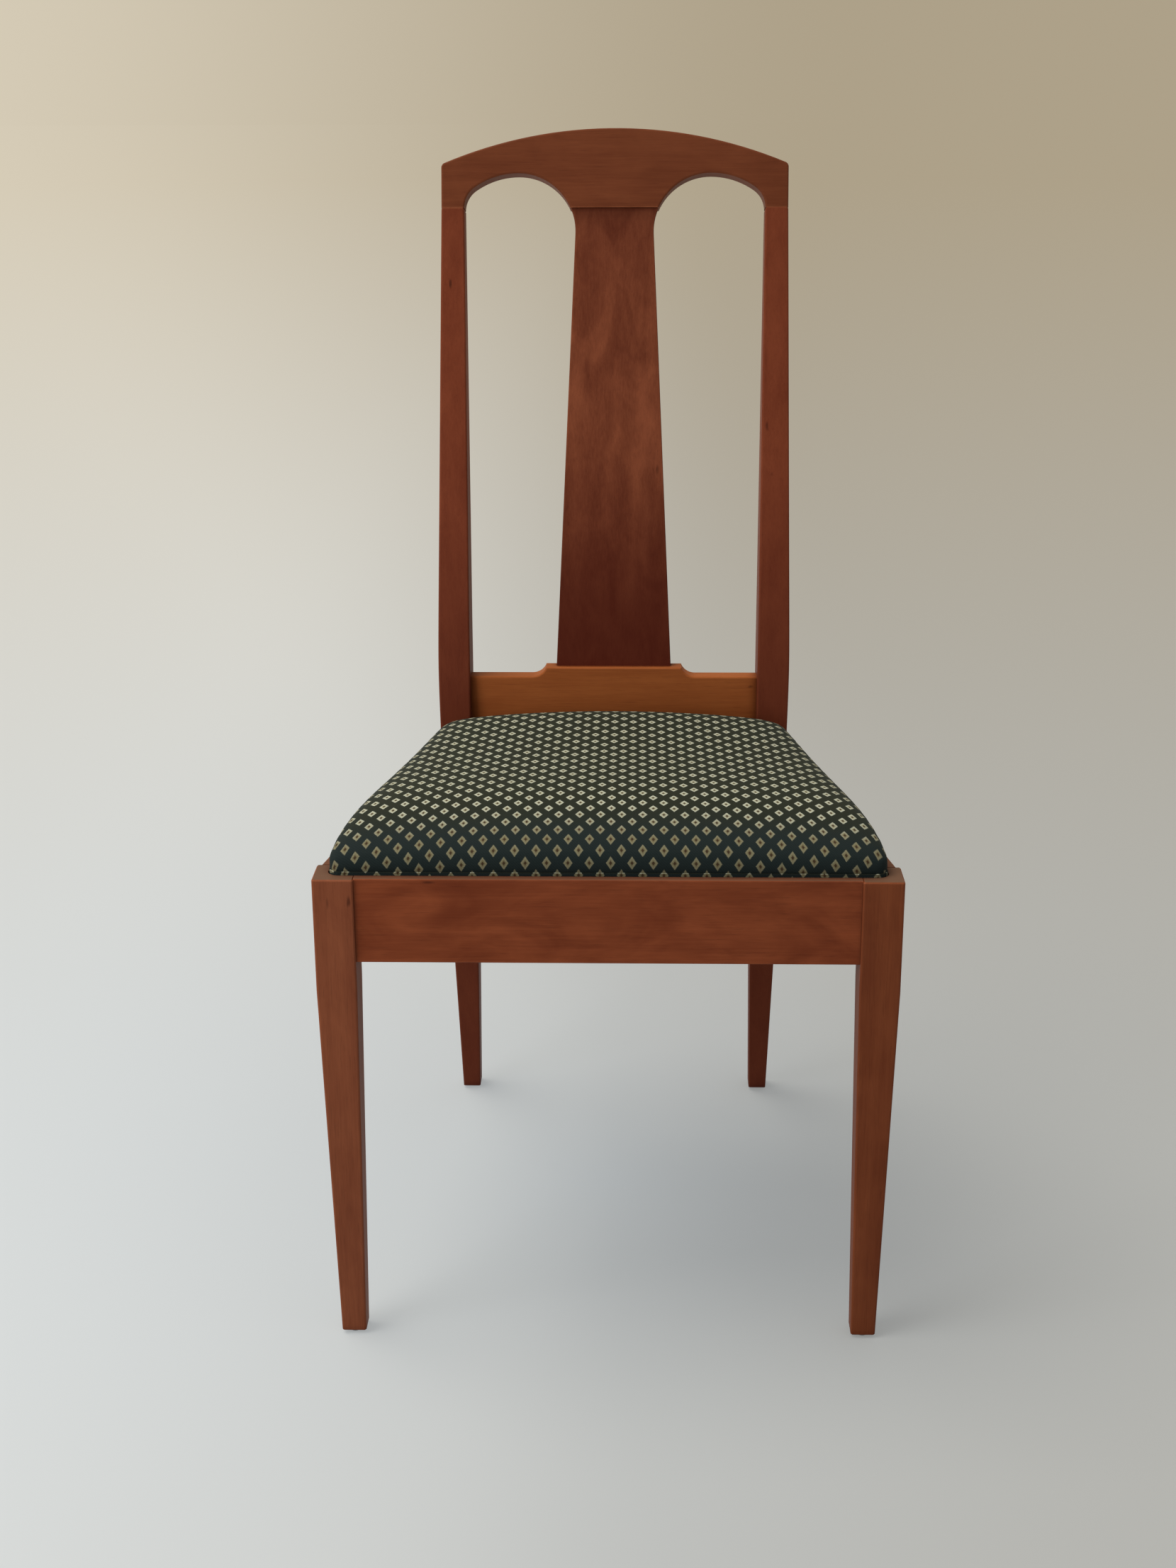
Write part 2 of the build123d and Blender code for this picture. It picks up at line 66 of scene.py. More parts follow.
def spread(tree, value, low, high, newLow=0.0, newHigh=1.0, smooth=True):
    # 0 to 1, or newLow to newHigh, as value goes from low to high
    node = addNode(tree, "ShaderNodeMapRange", {"Value": value, "From Min": low, "From Max": high,
                   "To Min": newLow, "To Max": newHigh})
    node.interpolation_type = "SMOOTHSTEP" if smooth else "LINEAR"
    return node.outputs["Result"]


def blendColour(tree, share, a, b, mode="MIX"):
    node = addNode(tree, "ShaderNodeMix", data_type="RGBA", blend_type=mode)
    for socket, value in zip((node.inputs[0], node.inputs[6], node.inputs[7]), (share, a, b)):
        feed(tree, socket, value)
    return node.outputs[2]


def noise(tree, vector, scale, detail=2.0, rough=0.5, bend=0.0):
    node = addNode(tree, "ShaderNodeTexNoise", {"Vector": vector, "Scale": scale, "Detail": detail,
                   "Roughness": rough, "Distortion": bend})
    return node.outputs["Fac"]


def stretch(tree, vector, x, y, z):
    node = addNode(tree, "ShaderNodeVectorMath", {0: vector, 1: (x, y, z)}, operation="MULTIPLY")
    return node.outputs[0]


def newGroup(name, ins, outs):
    group = bpy.data.node_groups.new(name, "ShaderNodeTree")
    for socket, kind in ins:
        group.interface.new_socket(socket, in_out="INPUT", socket_type=kind)
    for socket, kind in outs:
        group.interface.new_socket(socket, in_out="OUTPUT", socket_type=kind)
    return group, group.nodes.new("NodeGroupInput"), group.nodes.new("NodeGroupOutput")


def newMaterial(name):
    material = bpy.data.materials.new(name)
    material.use_nodes = True
    tree = material.node_tree
    return material, tree, tree.nodes["Principled BSDF"]


# wood: stained cherry under a satin finish

grainLook = {
    # scale along the grain as a share of that across it, then scale across, detail, roughness and bend
    "bands": (0.05, 46.0, 4.0, 0.55, 0.5), "fibres": (0.035, 620.0, 3.0, 0.6),
    "clouds": (0.5, 26.0, 3.0, 0.55, 0.9), "pores": (0.03, 1700.0, 1.0),
    "poreSpan": (0.60, 0.72), "poreShare": 0.16, "poreColour": (0.02, 0.006, 0.003, 1),
    "fleckAlong": 0.22, "fleckScale": 75.0, "fleckSpan": (0.16, 0.07), "fleckColour": (0.03, 0.008, 0.004, 1),
    "rareScale": 24.0, "rareSpan": (0.60, 0.66),      # where flecks may be
    "bandShare": 0.55, "fibreShare": 0.30, "toneSpan": (0.12, 0.76),
    "dull": 0.40, "dullFibres": 0.08, "dullClouds": 0.10, "relief": 0.5,
}
wearAndShadeLook = {
    "edgeTurn": (0.995, 0.86), "patchScale": 60.0, "patchSpan": (0.30, 0.68), "patchLeast": 0.35,
    # spans for painted shade in seams and corners, and on faces that point up
    "shelterSpan": (0.92, 0.40), "upSpan": (0.75, 0.95),
}


def alongGrain(tree, place, share, *texture):
    return noise(tree, stretch(tree, place, 1, 1, share), *texture)


def makeGrainGroup(look):
    # grain runs along Z of the vector; bands, fibres, clouds, pores and flecks add up to one tone
    group, start, end = newGroup("stainedGrain", [
        ("Vector", "NodeSocketVector"), ("Light", "NodeSocketColor"), ("Dark", "NodeSocketColor"),
        ("Clouds", "NodeSocketFloat"), ("Flecks", "NodeSocketFloat")], [
        ("Color", "NodeSocketColor"), ("Roughness", "NodeSocketFloat"), ("Height", "NodeSocketFloat")])
    place = start.outputs["Vector"]
    bands, fibres, clouds, pores = [alongGrain(group, place, *look[key])
                                    for key in ("bands", "fibres", "clouds", "pores")]
    pores = spread(group, pores, *look["poreSpan"])
    spots = addNode(group, "ShaderNodeTexVoronoi", {"Vector": stretch(group, place, 1, 1, look["fleckAlong"]),
                    "Scale": look["fleckScale"]})
    rare = spread(group, noise(group, place, look["rareScale"], 1.0), *look["rareSpan"])
    flecks = calc(group, "MULTIPLY", spread(group, spots.outputs["Distance"], *look["fleckSpan"]), rare)
    tone = calc(group, "MULTIPLY_ADD", bands, look["bandShare"], calc(group, "MULTIPLY", fibres, look["fibreShare"]))
    tone = calc(group, "MULTIPLY_ADD", calc(group, "SUBTRACT", clouds, 0.5), start.outputs["Clouds"], tone)
    colour = blendColour(group, spread(group, tone, *look["toneSpan"]), start.outputs["Dark"], start.outputs["Light"])
    colour = blendColour(group, calc(group, "MULTIPLY", pores, look["poreShare"]), colour, look["poreColour"])
    fleckShare = calc(group, "MULTIPLY", flecks, start.outputs["Flecks"])
    colour = blendColour(group, fleckShare, colour, look["fleckColour"])
    group.links.new(colour, end.inputs["Color"])
    dull = calc(group, "MULTIPLY_ADD", fibres, look["dullFibres"], look["dull"])
    group.links.new(calc(group, "MULTIPLY_ADD", clouds, look["dullClouds"], dull), end.inputs["Roughness"])
    height = calc(group, "MULTIPLY", calc(group, "SUBTRACT", fibres, pores), look["relief"])
    group.links.new(height, end.inputs["Height"])
    return group


def makeEdgeGroup(look):
    # how far the rounded normal turns away from the true one, in patches: 1 on edges and 0 on flats; the edges take a
    # lighter colour, partly rubbed wear and partly a painted highlight
    group, start, end = newGroup("easedEdges", [("Radius", "NodeSocketFloat"), ("Break", "NodeSocketFloat")],
                                 [("Mask", "NodeSocketFloat")])
    rounded = addNode(group, "ShaderNodeBevel", {"Radius": start.outputs["Radius"]}, samples=6)
    true = addNode(group, "ShaderNodeNewGeometry")
    turn = addNode(group, "ShaderNodeVectorMath", {0: rounded.outputs[0], 1: true.outputs["Normal"]},
                   operation="DOT_PRODUCT")
    edge = spread(group, turn.outputs["Value"], *look["edgeTurn"])
    spot = addNode(group, "ShaderNodeTexCoord").outputs["Object"]
    patch = spread(group, noise(group, spot, look["patchScale"], 3.0, 0.6), *look["patchSpan"])
    patch = calc(group, "MULTIPLY_ADD", patch, start.outputs["Break"], look["patchLeast"])
    group.links.new(calc(group, "MULTIPLY", edge, patch), end.inputs["Mask"])
    return group


def makeSeamGroup(look):
    # painted shade: 1 in the seams and corners where pieces meet, 0 in the open
    group, start, end = newGroup("paintedSeamShade", [("Reach", "NodeSocketFloat")], [("Mask", "NodeSocketFloat")])
    shelter = addNode(group, "ShaderNodeAmbientOcclusion", {"Distance": start.outputs["Reach"]}, samples=8)
    group.links.new(spread(group, shelter.outputs["AO"], *look["shelterSpan"]), end.inputs["Mask"])
    return group


def makeTopGroup(look):
    # painted shade on faces that point up: Share there, 0 on the rest
    group, start, end = newGroup("wornTops", [("Share", "NodeSocketFloat")], [("Mask", "NodeSocketFloat")])
    normal = addNode(group, "ShaderNodeTexCoord").outputs["Normal"]
    up = addNode(group, "ShaderNodeSeparateXYZ", {0: normal}).outputs[2]
    group.links.new(spread(group, up, *look["upSpan"], 0.0, start.outputs["Share"]), end.inputs["Mask"])
    return group


def makeHeightGroup():
    # painted shade: from LowShare to HighShare as the height on the chair goes from Low to High
    keys = ("Low", "High", "LowShare", "HighShare")
    group, start, end = newGroup("paintedShadeByHeight", [(key, "NodeSocketFloat") for key in keys],
                                 [("Mask", "NodeSocketFloat")])
    spot = addNode(group, "ShaderNodeTexCoord").outputs["Object"]
    height = addNode(group, "ShaderNodeSeparateXYZ", {0: spot}).outputs[2]
    group.links.new(spread(group, height, *[start.outputs[key] for key in keys]), end.inputs["Mask"])
    return group


grainGroup = makeGrainGroup(grainLook)
edgeGroup = makeEdgeGroup(wearAndShadeLook)
seamGroup = makeSeamGroup(wearAndShadeLook)
topGroup = makeTopGroup(wearAndShadeLook)
heightGroup = makeHeightGroup()
alongX = (0.0, radians(-90), 0.0)
alongY = (radians(90), 0.0, 0.0)
alongZ = (0.0, 0.0, 0.0)


def makeWood(name, look):
    material, tree, shader = newMaterial(name)

    def group(source, **inputs):
        return addNode(tree, "ShaderNodeGroup", inputs, node_tree=source).outputs

    spot = addNode(tree, "ShaderNodeTexCoord").outputs["Object"]
    turned = addNode(tree, "ShaderNodeMapping", {"Vector": spot, "Rotation": look["turn"], "Location": look["shift"]})
    grain = group(grainGroup, Vector=turned.outputs[0], Light=look["light"], Dark=look["dark"],
                  Clouds=look["clouds"], Flecks=look["flecks"])
    edge = group(edgeGroup, Radius=look["edge"], Break=look["broken"])
    # lighter edges: partly rubbed wear, partly a painted highlight
    colour = blendColour(tree, calc(tree, "MULTIPLY", edge["Mask"], look["rub"]), grain["Color"], look["rubbed"])
    # painted shade: faces that point up are mixed towards a duller, darker colour
    if look["wornTop"]:
        colour = blendColour(tree, group(topGroup, Share=look["wornTop"])["Mask"], colour, look["worn"])
    # painted shade: the wood darkens in seams and corners, where the cushion and neighbouring pieces shade it
    seam = group(seamGroup, Reach=look["reach"])
    colour = blendColour(tree, calc(tree, "MULTIPLY", seam["Mask"], look["seamShadeShare"]), colour, look["deep"])
    # painted shade: the back's posts and splat darken towards the seat, and the splat under the crest
    for low, high, lowShare, highShare in look["deepen"]:
        shade = group(heightGroup, Low=low, High=high, LowShare=lowShare, HighShare=highShare)
        colour = blendColour(tree, shade["Mask"], colour, look["deep"])
    tree.links.new(colour, shader.inputs["Base Color"])
    tree.links.new(grain["Roughness"], shader.inputs["Roughness"])
    bump = addNode(tree, "ShaderNodeBump", {"Strength": look["bump"], "Distance": look["relief"],
                   "Height": grain["Height"]})
    tree.links.new(bump.outputs[0], shader.inputs["Normal"])
    shader.inputs["Specular IOR Level"].default_value = look["gloss"]
    return material


def woodLook(**changes):
    look = {
        "turn": alongZ, "shift": (0.0, 0.0, 0.0), "clouds": 0.45, "flecks": 0.6,
        "light": (0.267, 0.0645, 0.0228, 1), "dark": (0.151, 0.0312, 0.0108, 1),
        "edge": 0.003, "broken": 0.6, "rub": 0.45, "rubbed": (0.40, 0.13, 0.055, 1),
        # painted shade on faces that point up: its share and its colour
        "wornTop": 0.0, "worn": (0.136, 0.072, 0.043, 1),
        # painted shade in seams and corners: how far it reaches, its share, and the dark shade colour, which the
        # zones below use too
        "reach": 0.014, "seamShadeShare": 0.7, "deep": (0.060, 0.009, 0.003, 1),
        "deepen": (),      # painted shade zones: low, high, and the share of the dark shade colour at each
        "bump": 0.2, "relief": 0.0002, "gloss": 0.06,
    }
    look.update(changes)
    return look


woods = {
    "leftLegWood": (woodLook(shift=(0.31, 0.12, 0.4), light=(0.264, 0.079, 0.034, 1),
                             dark=(0.152, 0.039, 0.017, 1), wornTop=0.9), ["front_leg_left"]),
    # painted shade: the right leg's colours are darker than the left leg's, as light falls from the left
    "rightLegShadedWood": (woodLook(shift=(0.31, 0.12, 0.4), light=(0.226, 0.061, 0.0218, 1),
                              dark=(0.130, 0.0295, 0.0106, 1), wornTop=0.9), ["front_leg_right"]),
    # painted shade: the posts darken from high on the back down to the seat and below it
    "postWood": (woodLook(shift=(0.77, 0.05, 0.1), light=(0.236, 0.0545, 0.0218, 1),
                          dark=(0.149, 0.0294, 0.0116, 1), deep=(0.064, 0.0125, 0.0068, 1),
                          deepen=((0.45, 0.76, 0.42, 0.0),)), ["back_post_left", "back_post_right"]),
    "crestWood": (woodLook(turn=alongX, shift=(0.2, 0.5, 0.3), light=(0.208, 0.0565, 0.0213, 1),
                           dark=(0.123, 0.0294, 0.011, 1)), ["crest_rail"]),
    # painted shade: the splat darkens towards the seat and under the crest
    "splatWood": (woodLook(shift=(0.6, 0.9, 0.7), clouds=0.7, light=(0.275, 0.0745, 0.0315, 1),
                           dark=(0.125, 0.0275, 0.0115, 1), deep=(0.060, 0.0058, 0.0022, 1),
                           deepen=((0.52, 0.74, 0.78, 0.0), (0.82, 0.93, 0.0, 0.16))), ["splat"]),
    "shoeWood": (woodLook(turn=alongX, shift=(0.4, 0.2, 0.9), light=(0.420, 0.122, 0.031, 1),
                          dark=(0.285, 0.072, 0.018, 1), clouds=0.3), ["shoe_rail"]),
    "railWood": (woodLook(turn=alongX, shift=(0.9, 0.3, 0.2), clouds=0.8, wornTop=0.7),
                 ["front_seat_rail", "rear_seat_rail"]),
    "sideRailWood": (woodLook(turn=alongY, shift=(0.1, 0.7, 0.5), wornTop=0.7),
                     ["side_seat_rail_left", "side_seat_rail_right"]),
    "blockWood": (woodLook(turn=alongX, light=(0.46, 0.30, 0.16, 1), dark=(0.34, 0.20, 0.10, 1), rub=0.1,
                           gloss=0.2, clouds=0.3),
                  ["corner_block_front_left", "corner_block_front_right", "corner_block_rear_left",
                   "corner_block_rear_right", "crest_dowels"]),
    "boardWood": (woodLook(turn=alongY, light=(0.50, 0.35, 0.20, 1), dark=(0.38, 0.24, 0.12, 1), rub=0.1,
                           gloss=0.2, clouds=0.5), ["seat_board"]),
}


def dress(material, nodes):
    for node in nodes:
        mesh = bpy.data.objects[node].data
        mesh.materials.clear()
        mesh.materials.append(material)


for woodName, (look, nodes) in woods.items():
    dress(makeWood(woodName, look), nodes)
print("wood dressed:", len(woods), "looks")


# hardware: steel, glides, dust cloth

def makePlain(name, look):
    # a base colour broken up by fine noise, with the roughness following it
    material, tree, shader = newMaterial(name)
    spot = addNode(tree, "ShaderNodeTexCoord")
    grain = noise(tree, spot.outputs["Object"], look["scale"], 4.0, 0.6)
    span = (0.3, 0.7)
    colour = blendColour(tree, spread(tree, grain, *span), look["dark"], look["light"])
    tree.links.new(colour, shader.inputs["Base Color"])
    tree.links.new(spread(tree, grain, *span, look["smooth"], look["rough"]), shader.inputs["Roughness"])
    bump = addNode(tree, "ShaderNodeBump", {"Strength": 0.3, "Distance": 0.0002, "Height": grain})
    tree.links.new(bump.outputs[0], shader.inputs["Normal"])
    shader.inputs["Metallic"].default_value = look["metal"]
    return material


plains = {
    "tackSteel": ({"scale": 900.0, "dark": (0.30, 0.29, 0.28, 1), "light": (0.52, 0.51, 0.50, 1),
                   "smooth": 0.28, "rough": 0.5, "metal": 1.0}, ["corner_block_screws", "dust_cover_tacks"]),
    "glideCap": ({"scale": 500.0, "dark": (0.012, 0.010, 0.009, 1), "light": (0.035, 0.028, 0.024, 1),
                  "smooth": 0.35, "rough": 0.6, "metal": 0.0},
                 ["glide_front_left", "glide_front_right", "glide_rear_left", "glide_rear_right"]),
    "dustCloth": ({"scale": 1400.0, "dark": (0.008, 0.008, 0.009, 1), "light": (0.030, 0.030, 0.032, 1),
                   "smooth": 0.8, "rough": 0.95, "metal": 0.0}, ["dust_cover"]),
}
for plainName, (look, nodes) in plains.items():
    dress(makePlain(plainName, look), nodes)
print("hardware dressed")


# cushion of the loose seat

cushion = {
    "front": -0.2677, "back": 0.1453,        # edges of the plan, in metres
    "halfFront": 0.2352, "halfBack": 0.1591,
    "cornerFront": 0.0095, "cornerRear": 0.0693,
    "bottom": 0.4336, "top": -0.1745,        # lower edge, and where the crown is highest from front to back
    "shares": (0.0, 0.22, 0.45, 0.7, 1.0),   # from front to back, with the rise of the crown at each
    "rises": (0.0314, 0.0440, 0.0409, 0.0387, 0.0314),
    "domeFront": 0.0052, "domeBack": 0.0115,
    "frontCurve": (0.1355, 4.8),             # how far in each edge curve runs, and how square it is
    "sideCurve": (0.1096, 7.5), "rearCurve": (0.070, 1.65),
    "around": 240, "rings": 48, "crowd": 2.2,      # points round the pad, and rings that crowd towards its edge
    "inset": 0.0002,                         # starts smaller, because it swells
    "voxel": 0.004, "pressure": 4.0, "cap": 0.003, "frames": 20,
    "held": 0.006, "firm": 0.15,             # height of the rim that is held, and how firmly foam holds the rest
    "cloth": {"quality": 6, "mass": 0.2, "tension_stiffness": 12, "compression_stiffness": 12,
              "bending_stiffness": 2.0},
    "pullFrom": 0.09, "pull": 0.020, "pullBack": 0.25,     # how the weave bends down towards the front corners
    "rim": 0.006, "wall": 0.008,             # strip at the edge, where cloth runs down the wall
    "foldBack": 0.014, "foldSlope": 9.0,     # where the front flap of the cover ends, behind the front edge
    "skirtLow": 0.4240, "skirtHigh": 0.003, "skirtThick": 0.0012, "skirtAround": 320,
}


def roundedOutline(size, inset, count):
    # corners of the trapezium, each replaced by an arc that touches both sides; points and outward normals
    front, back = size["front"] + inset, size["back"] - inset
    lean = (size["halfFront"] - size["halfBack"]) / (size["back"] - size["front"])
    slant = np.hypot(1.0, lean)

    def half(y):
        return size["halfFront"] - lean * (y - size["front"]) - inset * slant

    corners = np.array([(half(front), front), (half(back), back), (-half(back), back), (-half(front), front)])
    radii = np.array([size["cornerFront"], size["cornerRear"], size["cornerRear"], size["cornerFront"]])
    dense = []
    for i in range(4):
        a, b, c = corners[i - 1], corners[i], corners[(i + 1) % 4]
        inward, outward = (a - b) / np.linalg.norm(a - b), (c - b) / np.linalg.norm(c - b)
        halfAngle = np.arccos(np.clip(inward @ outward, -1, 1)) / 2
        middle = b + (inward + outward) / np.linalg.norm(inward + outward) * radii[i] / np.sin(halfAngle)
        first = b + inward * radii[i] / np.tan(halfAngle) - middle
        last = b + outward * radii[i] / np.tan(halfAngle) - middle
        share = np.linspace(0, 1, 60)[:, None]
        sweep = np.pi - 2 * halfAngle
        dense.append(middle + (np.sin((1 - share) * sweep) * first + np.sin(share * sweep) * last) / np.sin(sweep))
    points = np.vstack(dense)
    points = np.vstack([points, points[:1]])
    run = np.concatenate([[0], np.cumsum(np.linalg.norm(np.diff(points, axis=0), axis=1))])
    even = np.linspace(0, run[-1], count, endpoint=False)
    line = np.column_stack([np.interp(even, run, points[:, 0]), np.interp(even, run, points[:, 1])])
    along = np.roll(line, -1, axis=0) - np.roll(line, 1, axis=0)
    normal = np.column_stack([along[:, 1], -along[:, 0]])
    return line, normal / np.linalg.norm(normal, axis=1)[:, None]


def halfWidth(size, y):
    line, _ = roundedOutline(size, 0.0, 2000)
    side = line[line[:, 0] > 0]
    side = side[np.argsort(side[:, 1])]
    return np.interp(y, side[:, 1], side[:, 0])


def edgeCurve(distance, reach, square):
    # superellipse: 0 at the edge, 1 from reach inwards
    gone = 1 - np.clip(distance / reach, 0, 1)
    return (1 - gone ** square) ** (1 / square)


def padHeight(size, x, y):
    # rise = (polynomial along the seat - dome across it) * front edge * side edges * rear edge
    share = np.clip((y - size["front"]) / (size["back"] - size["front"]), 0, 1)
    half = halfWidth(size, y)
    curve = np.polynomial.polynomial.polyfit(size["shares"], size["rises"], len(size["shares"]) - 1)
    crown = np.polynomial.polynomial.polyval(share, curve)
    crown = crown - (size["domeFront"] + (size["domeBack"] - size["domeFront"]) * share) * (x / half) ** 2
    sides = edgeCurve(half - np.abs(x), *size["sideCurve"])
    ends = edgeCurve(y - size["front"], *size["frontCurve"]) * edgeCurve(size["back"] - y, *size["rearCurve"])
    return size["bottom"] + crown * sides * ends


def newMesh(name, points, quads, tris=None):
    mesh = bpy.data.meshes.new(name)
    faces = [tuple(q) for q in quads.tolist()] + ([tuple(t) for t in tris.tolist()] if tris is not None else [])
    mesh.from_pydata(points.tolist(), [], faces)
    mesh.update()
    piece = bpy.data.objects.new(name, mesh)
    scene.collection.objects.link(piece)
    return piece


def padSurface(size):
    # rings from the middle of the crown out to the rim, closed by one flat ring fan underneath
    line, _ = roundedOutline(size, size["inset"], size["around"])
    middle = np.array([0.0, (size["front"] + size["back"]) / 2])
    out = 1 - np.linspace(1, 0, size["rings"])[1:] ** size["crowd"]
    plan = (middle + out[:, None, None] * (line - middle)).reshape(-1, 2)
    lift = padHeight(size, plan[:, 0], plan[:, 1])
    lift[-len(line):] = size["bottom"]
    top = np.column_stack([plan, lift])
    peak = [*middle, padHeight(size, middle[0], middle[1])]
    points = np.vstack([top, [peak], [[*middle, size["bottom"]]]])
    ringCount, count = out.size, len(line)
    grid = np.arange(ringCount * count).reshape(ringCount, count)
    quads = np.stack([grid[:-1], np.roll(grid[:-1], -1, 1), np.roll(grid[1:], -1, 1), grid[1:]], axis=-1)
    quads = quads.reshape(-1, 4)[:, ::-1]
    inner = np.column_stack([np.roll(grid[0], -1), grid[0], np.full(count, top.shape[0])])[:, ::-1]
    under = np.column_stack([np.roll(grid[-1], -1), grid[-1], np.full(count, top.shape[0] + 1)])
    return newMesh("seatCushion", points, quads, np.vstack([inner, under]))


def vertexArray(mesh):
    flat = np.empty(len(mesh.vertices) * 3)
    mesh.vertices.foreach_get("co", flat)
    return flat.reshape(-1, 3)


def applied(piece):
    mesh = bpy.data.meshes.new_from_object(piece.evaluated_get(bpy.context.evaluated_depsgraph_get()))
    piece.modifiers.clear()
    old = piece.data
    piece.data = mesh
    bpy.data.meshes.remove(old)
    return mesh


def clothRun(away, high, sectionAway, sectionHigh):
    # length of cloth along each row's section out to its point; away - height only grows along a section
    steps = np.hypot(np.diff(sectionAway, axis=1), np.diff(sectionHigh, axis=1))
    run = np.column_stack([np.zeros(len(steps)), np.cumsum(steps, axis=1)])
    mark = np.maximum.accumulate(sectionAway - sectionHigh, axis=1)
    want = away - high
    after = np.clip((mark < want[:, None]).sum(axis=1), 1, mark.shape[1] - 1)
    row = np.arange(len(want))
    a, b = mark[row, after - 1], mark[row, after]
    share = np.clip((want - a) / np.maximum(b - a, 1e-9), 0, 1)
    return run[row, after - 1] + share * (run[row, after] - run[row, after - 1])


def edgeGaps(size, x, y):
    lean = (size["halfFront"] - size["halfBack"]) / (size["back"] - size["front"])
    fromFront = np.maximum(y - size["front"], 0)
    return fromFront, np.maximum(size["halfFront"] - lean * fromFront - np.abs(x), 0)


def fabricPlace(size, points):
    # cloth coordinates: length of cloth from the middle line out, and from the front edge back;
    # one map for the front flap, where only the second runs down the wall, and one for the side flaps
    x, y, z = points.T
    step = (1 - (1 - np.linspace(0, 1, 90)) ** 2.5)[None, :]
    rim = size["rim"]
    fromFront, fromSide = edgeGaps(size, x, y)
    frontWall, sideWall = np.clip(1.5 - np.array([fromFront, fromSide]) / size["wall"], 0, 1)
    row = np.clip(y, size["front"] + rim, size["back"] - rim)
    half = halfWidth(size, row)
    outX = half[:, None] * step
    highX = padHeight(size, outX, row[:, None])
    inner = np.minimum(np.abs(x), half - rim)
    flatX = clothRun(inner, padHeight(size, inner, row), outX, highX) + np.abs(x) - inner
    downX = clothRun(np.abs(x), z, outX, highX)
    column = np.clip(x, rim - half, half - rim)
    ends = np.where(y < size["top"], size["front"], size["back"])
    outY = size["top"] + (ends - size["top"])[:, None] * step
    fan = (column / half)[:, None] * halfWidth(size, outY)       # keeps its share of the tapering width
    awayY, highY = np.abs(outY - size["top"]), padHeight(size, fan, outY)
    flatY = clothRun(np.abs(row - size["top"]), padHeight(size, column, row), awayY, highY) + np.abs(y - row)
    downY = clothRun(np.abs(y - size["top"]), z, awayY, highY)
    frontY = size["top"] + (size["front"] - size["top"]) * step[0]
    whole = np.hypot(np.diff(frontY), np.diff(padHeight(size, 0.0, frontY))).sum()
    # the cloth is pulled down over the front corners
    pull = np.clip((np.abs(x) - size["pullFrom"]) / (size["halfFront"] - size["pullFrom"]), 0, 1) ** 2
    pull *= size["pull"] * np.clip(1.2 - fromFront / size["pullBack"], 0, 1)

    def flap(onSide, onFront):
        across = flatX + onSide * (downX - flatX)
        along = flatY + onFront * (downY - flatY)
        return np.column_stack([np.sign(x) * across, whole + np.sign(y - size["top"]) * along + pull])

    return flap(0, frontWall), flap(sideWall, 0)


def setMap(size, mesh, name, frontFlap, sideFlap):
    # each face takes one flap, so the two meet in a fold just behind the front corners
    corners = np.empty(len(mesh.loops), dtype=np.int32)
    mesh.loops.foreach_get("vertex_index", corners)
    sides = np.empty(len(mesh.polygons), dtype=np.int32)
    mesh.polygons.foreach_get("loop_total", sides)
    middle = np.empty(len(mesh.polygons) * 3)
    mesh.polygons.foreach_get("center", middle)
    fromFront, fromSide = edgeGaps(size, *middle.reshape(-1, 3).T[:2])
    atSide = (fromFront > size["foldBack"]) | (fromFront > size["foldSlope"] * fromSide)
    atSide = np.repeat(atSide, sides)[:, None]
    layer = mesh.uv_layers.new(name=name)
    layer.data.foreach_set("uv", np.where(atSide, sideFlap[corners], frontFlap[corners]).ravel())


def makeCushion(size):
    piece = padSurface(size)
    remesh = piece.modifiers.new("voxels", "REMESH")
    remesh.mode = "VOXEL"
    remesh.voxel_size = size["voxel"]
    mesh = applied(piece)
    rest = vertexArray(mesh)
    places = fabricPlace(size, rest)
    held = rest[:, 2] < size["bottom"] + size["held"]
    group = piece.vertex_groups.new(name="held")
    group.add(np.nonzero(held)[0].tolist(), 1.0, "REPLACE")
    group.add(np.nonzero(~held)[0].tolist(), size["firm"], "REPLACE")
    cloth = piece.modifiers.new("swell", "CLOTH")
    for key, value in size["cloth"].items():
        setattr(cloth.settings, key, value)
    cloth.settings.use_pressure = True
    cloth.settings.uniform_pressure_force = size["pressure"]
    cloth.settings.effector_weights.gravity = 0
    cloth.settings.vertex_group_mass = "held"
    cloth.point_cache.frame_start, cloth.point_cache.frame_end = 1, size["frames"]
    for step in range(1, size["frames"] + 1):
        scene.frame_set(step)
    mesh = applied(piece)
    moved = vertexArray(mesh) - rest
    far = np.linalg.norm(moved, axis=1)
    print("cushion swelled by up to", round(far.max() * 1000, 2), "mm, mean", round(far.mean() * 1000, 2))
    moved *= np.minimum(1, size["cap"] / np.maximum(far, 1e-9))[:, None]
    mesh.vertices.foreach_set("co", (rest + moved).ravel())
    scene.frame_set(1)
    setMap(size, mesh, "weave", *places)
    mesh.polygons.foreach_set("use_smooth", np.ones(len(mesh.polygons), dtype=bool))
    soft = piece.modifiers.new("soft", "SUBSURF")
    soft.levels = soft.render_levels = 1
    mesh.update()
    return piece


